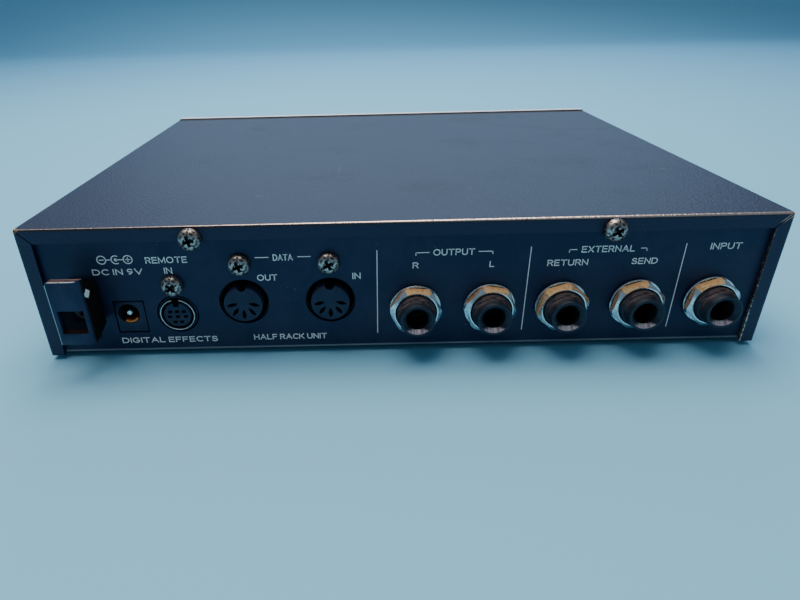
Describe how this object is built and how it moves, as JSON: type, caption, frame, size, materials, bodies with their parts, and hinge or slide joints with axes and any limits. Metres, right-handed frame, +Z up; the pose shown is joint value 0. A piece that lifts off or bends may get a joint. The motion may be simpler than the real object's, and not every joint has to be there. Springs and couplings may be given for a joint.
{
  "type": "half-rack audio effects unit",
  "caption": "Half-width rack effects unit: folded steel cover, front panel with dials, keys and a display, rear panel with phone jacks, round data sockets and a cord hook.",
  "frame": {"origin": "middle of the bounding box, on the plane that the four feet stand on", "axes": "+Z up, -Y out of the front panel with the dials and display, +Y out of the rear sockets, +X to the right seen from the front"},
  "size_m": [0.216, 0.19, 0.0436],
  "materials": {
    "cover_paint": "fine leather-grain navy paint, worn at the edges",
    "chassis_paint": "satin navy paint with white print",
    "hook_paint": "satin navy paint with bare cut edges",
    "panel_finish": "dark anodised face with bare light edges",
    "nickel": "dulled nickel plate",
    "plated_steel": "tarnished nickel plate",
    "module_steel": "tin plate",
    "aluminium": "plain extruded",
    "black_plastic": "moulded, fine texture",
    "socket_plastic": "moulded, semi-matt",
    "foot_rubber": "matt",
    "laminate": "green glass laminate",
    "cable_grey": "flat insulation",
    "display_clear": "smoked clear window",
    "lamp_red": "tinted clear resin"
  },
  "bodies": {
    "case": {"backup_battery": "plated_steel", "capacitor": "black_plastic", "chassis": "chassis_paint", "control_board": "laminate", "cord_hook": "hook_paint", "cord_hook_screw": "plated_steel", "cover_screw_left": "plated_steel", "cover_screw_right": "plated_steel", "data_in_screw": "plated_steel", "data_in_socket": "socket_plastic", "data_out_screw": "plated_steel", "data_out_socket": "socket_plastic", "display_module": "module_steel", "display_window": "display_clear", "foot_front_left": "foot_rubber", "foot_front_right": "foot_rubber", "foot_rear_left": "foot_rubber", "foot_rear_right": "foot_rubber", "front_panel": "panel_finish", "heat_sink": "aluminium", "input_control": "module_steel", "input_jack": "black_plastic", "input_nut": "nickel", "input_washer": "nickel", "main_board": "laminate", "output_control": "module_steel", "output_l_jack": "black_plastic", "output_l_nut": "nickel", "output_l_washer": "nickel", "output_r_jack": "black_plastic", "output_r_nut": "nickel", "output_r_washer": "nickel", "peak_lamp": "lamp_red", "power_pin": "nickel", "power_socket": "socket_plastic", "power_switch": "black_plastic", "processor": "black_plastic", "remote_screw": "plated_steel", "remote_shield": "nickel", "remote_socket": "socket_plastic", "return_jack": "black_plastic", "return_nut": "nickel", "return_washer": "nickel", "ribbon_cable": "cable_grey", "send_jack": "black_plastic", "send_nut": "nickel", "send_washer": "nickel", "top_cover": "cover_paint", "value_control": "module_steel"},
    "input_control_knob": {"input_knob": "black_plastic", "input_shaft": "plated_steel"},
    "output_control_knob": {"output_knob": "black_plastic", "output_shaft": "plated_steel"},
    "value_control_knob": {"value_knob": "black_plastic", "value_shaft": "plated_steel"},
    "edit_key_body": {"edit_key": "black_plastic"},
    "page_key_body": {"page_key": "black_plastic"},
    "store_key_body": {"store_key": "black_plastic"},
    "bypass_key_body": {"bypass_key": "black_plastic"},
    "power_key_body": {"power_key": "black_plastic"}
  },
  "joints": [
    {"name": "input_turn", "type": "hinge", "parent": "case", "child": "input_control_knob", "pos_m": [-0.093, -0.08, 0.0223], "axis": [0, 1, 0], "range_deg": [-150, 150]},
    {"name": "output_turn", "type": "hinge", "parent": "case", "child": "output_control_knob", "pos_m": [-0.071, -0.08, 0.0223], "axis": [0, 1, 0], "range_deg": [-150, 150]},
    {"name": "value_turn", "type": "hinge", "parent": "case", "child": "value_control_knob", "pos_m": [0.064, -0.08, 0.0223], "axis": [0, 1, 0], "continuous": true},
    {"name": "edit_key_press", "type": "slide", "parent": "case", "child": "edit_key_body", "axis": [0, 1, 0], "range_m": [0, 0.0005], "stiffness_N_per_m": 1200, "springref_m": -0.0004},
    {"name": "page_key_press", "type": "slide", "parent": "case", "child": "page_key_body", "axis": [0, 1, 0], "range_m": [0, 0.0005], "stiffness_N_per_m": 1200, "springref_m": -0.0004},
    {"name": "store_key_press", "type": "slide", "parent": "case", "child": "store_key_body", "axis": [0, 1, 0], "range_m": [0, 0.0005], "stiffness_N_per_m": 1200, "springref_m": -0.0004},
    {"name": "bypass_key_press", "type": "slide", "parent": "case", "child": "bypass_key_body", "axis": [0, 1, 0], "range_m": [0, 0.0005], "stiffness_N_per_m": 1200, "springref_m": -0.0004},
    {"name": "power_key_press", "type": "slide", "parent": "case", "child": "power_key_body", "axis": [0, 1, 0], "range_m": [0, 0.002], "stiffness_N_per_m": 600, "springref_m": -0.001}
  ]
}
